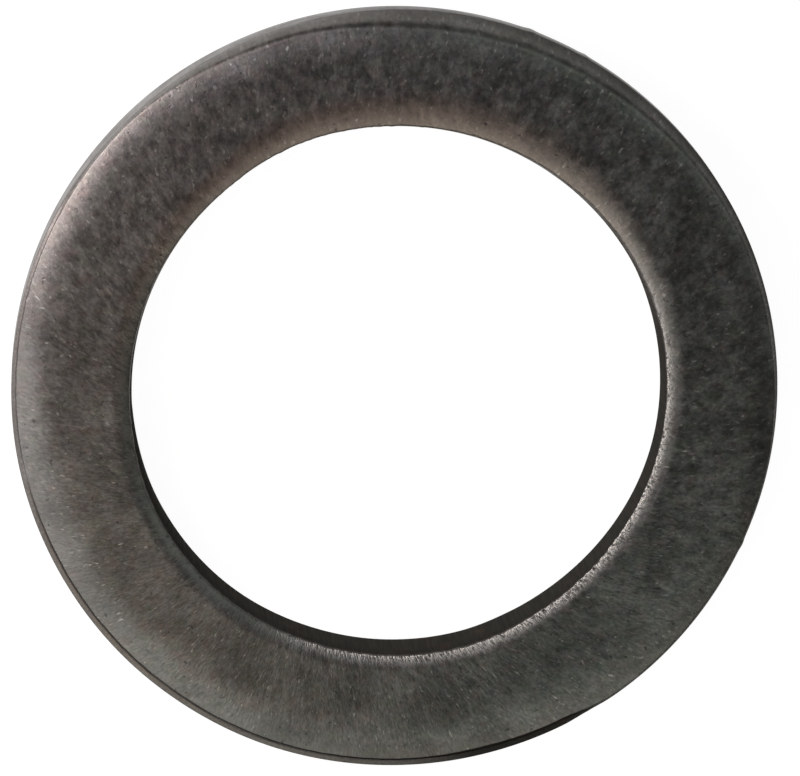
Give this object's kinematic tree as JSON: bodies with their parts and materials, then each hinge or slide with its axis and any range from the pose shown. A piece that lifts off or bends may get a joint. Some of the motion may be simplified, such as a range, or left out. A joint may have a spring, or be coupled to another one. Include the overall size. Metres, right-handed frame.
{
  "type": "flat washer",
  "caption": "Plain flat steel washer: a narrow blanked ring with rolled-over shoulders and a dark tumbled finish.",
  "frame": {"origin": "on the bore's axis, in the plane of the bottom face, which the washer lies on", "axes": "+Z along the bore's axis, from the flat bottom face to the top face with the rolled shoulders"},
  "size_m": [0.04, 0.04, 0.0035],
  "materials": {
    "dark_steel": "tumbled dark self-coloured carbon steel, satin, with bright worn edges and fine pits"
  },
  "bodies": {
    "root": {"washer_ring": "dark_steel"}
  },
  "joints": []
}
